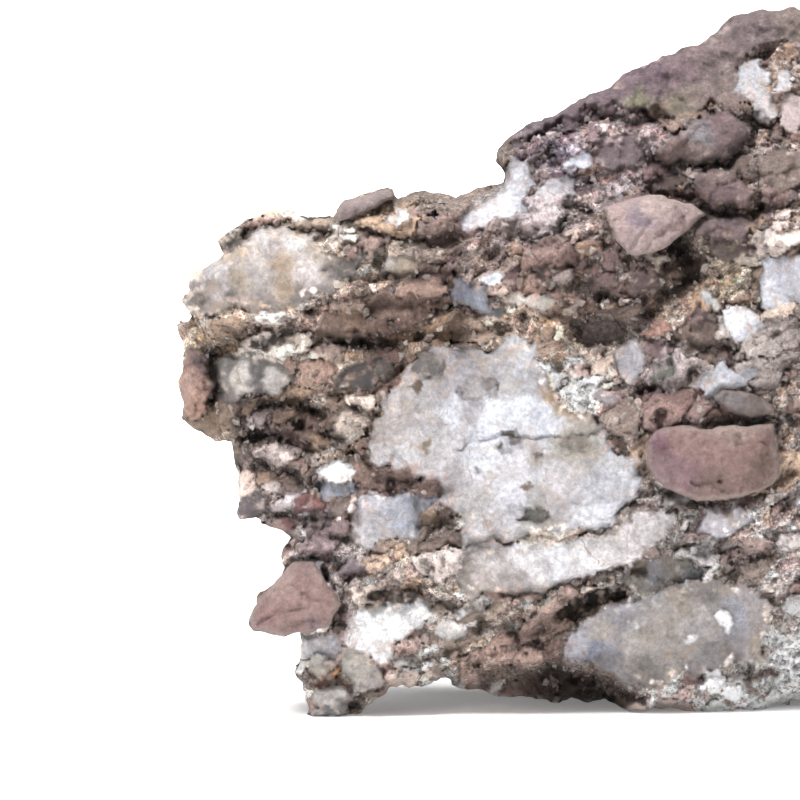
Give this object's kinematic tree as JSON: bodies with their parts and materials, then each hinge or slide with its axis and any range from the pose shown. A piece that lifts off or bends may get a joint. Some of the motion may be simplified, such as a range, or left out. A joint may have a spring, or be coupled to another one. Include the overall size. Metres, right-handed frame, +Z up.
{
  "type": "rough rock",
  "caption": "Rough hand-sized lump of breccia: angular pale and purple stones held in gritty cement, arched underneath, resting on low points of its base.",
  "frame": {"origin": "middle of the rock's box, on the ground it rests on", "axes": "+X along the rock's length towards its tall, unseen end, -Y towards the viewer of the picture, +Z up"},
  "size_m": [0.1716, 0.0704, 0.1069],
  "materials": {
    "breccia": "rough, matt, with glassy chalcedony stones"
  },
  "bodies": {
    "root": {"rock": "breccia"}
  },
  "joints": []
}
